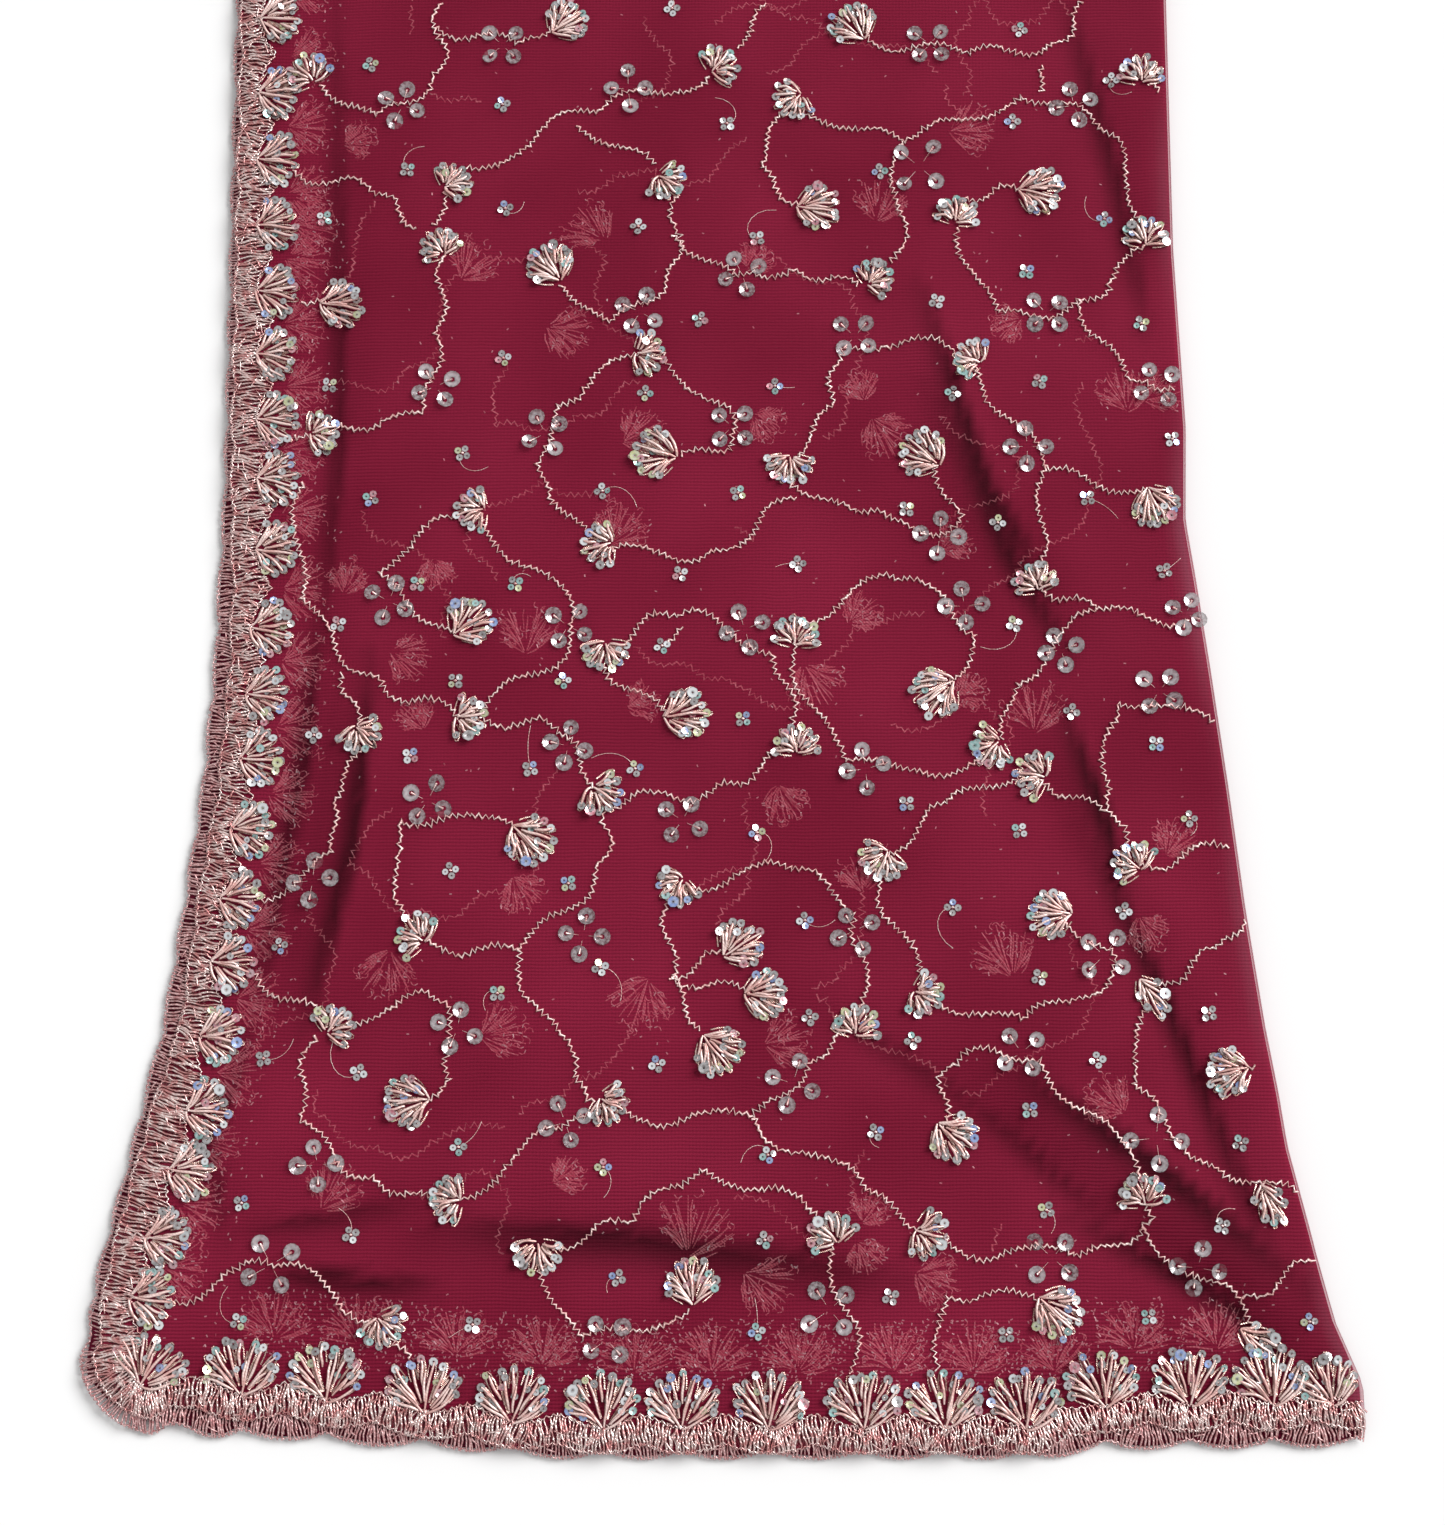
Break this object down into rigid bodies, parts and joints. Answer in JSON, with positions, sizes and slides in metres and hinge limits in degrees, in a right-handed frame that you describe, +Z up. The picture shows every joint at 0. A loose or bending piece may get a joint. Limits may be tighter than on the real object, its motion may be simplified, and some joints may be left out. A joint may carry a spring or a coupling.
{
  "type": "dupatta stole",
  "caption": "Maroon net dupatta stole with a scalloped metallic-thread border and embroidered shells, vines and sequins, folded in half both ways and laid flat.",
  "frame": {"origin": "middle of the folded stole's footprint, on the surface it lies on", "axes": "+Z up off the surface, +Y along the stole from its bordered near end to the far fold, +X across from the bordered long edge to the folded one"},
  "size_m": [0.4312, 1.145, 0.0103],
  "materials": {
    "net": "soft dyed net, slightly see-through, with fine ribs",
    "metallic_thread": "pale pink-gold metallic thread, glinting",
    "net_layers": "the same dyed net, in folded layers"
  },
  "bodies": {
    "root": {"net_panel": "net", "scallop_border": "metallic_thread", "under_layers": "net_layers"}
  },
  "joints": []
}
